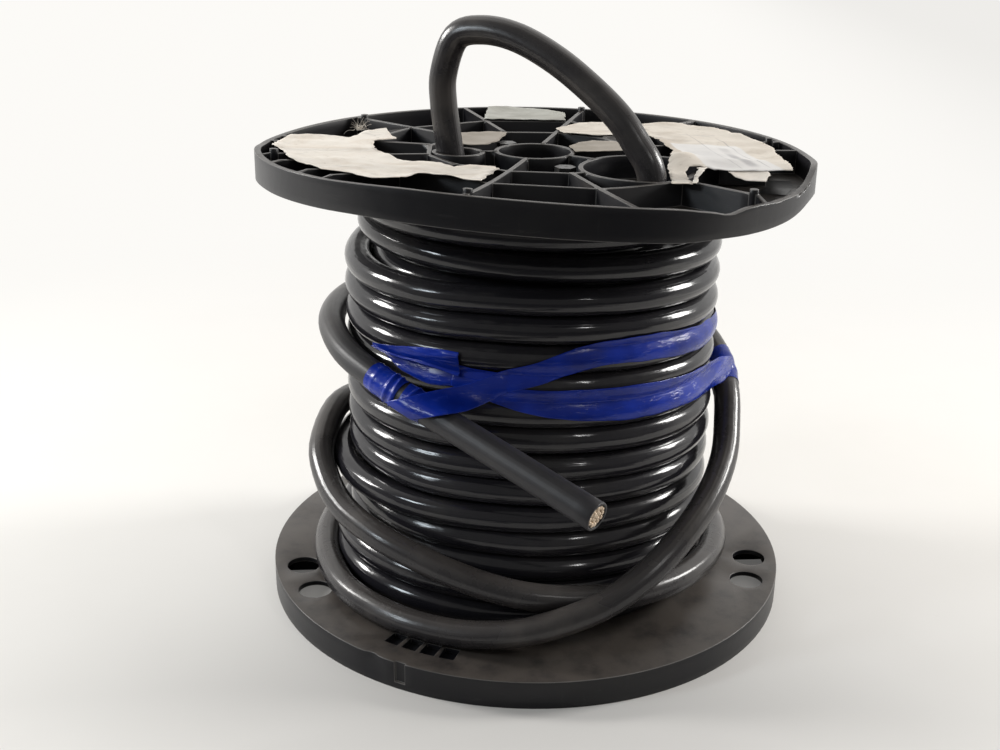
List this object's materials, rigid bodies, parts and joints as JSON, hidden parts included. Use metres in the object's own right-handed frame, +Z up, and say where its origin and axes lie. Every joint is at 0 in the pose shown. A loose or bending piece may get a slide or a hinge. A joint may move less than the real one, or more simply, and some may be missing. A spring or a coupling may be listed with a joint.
{
  "type": "cable reel",
  "caption": "Black moulded cable reel standing on one flange, wound with heavy black cable, its loose outer turns tied with blue tape and its inner end looped over the top.",
  "frame": {"origin": "centre of the lower flange's rim face, on the arbor axis, where the reel stands on the floor", "axes": "+Z up along the arbor axis, -Y towards the picture's camera, +X to the picture's right"},
  "size_m": [0.305, 0.3354, 0.3319],
  "materials": {
    "reel_plastic": "dusty matte black moulded plastic",
    "cable_jacket": "glossy black nylon-skinned jacket",
    "copper": "cut bare copper strands",
    "blue_tape": "creased glossy blue plastic tape",
    "label_paper": "torn beige label paper, bare",
    "steel": "dull zinc-plated steel"
  },
  "bodies": {
    "root": {"top_flange": "reel_plastic", "bottom_flange": "reel_plastic", "barrel": "reel_plastic", "tie_bolt_1": "steel", "tie_bolt_2": "steel", "tie_nut_1": "steel", "tie_nut_2": "steel", "cable_winding": "cable_jacket", "cable_loose": "cable_jacket", "cable_loop": "cable_jacket", "cut_jacket": "cable_jacket", "conductor": "copper", "tape_wrap": "blue_tape", "tape_flap": "blue_tape", "tape_upper": "blue_tape", "tape_lower": "blue_tape", "label_left": "label_paper", "label_right": "label_paper", "label_back": "label_paper", "label_mid": "label_paper", "label_inner": "label_paper"}
  },
  "joints": []
}
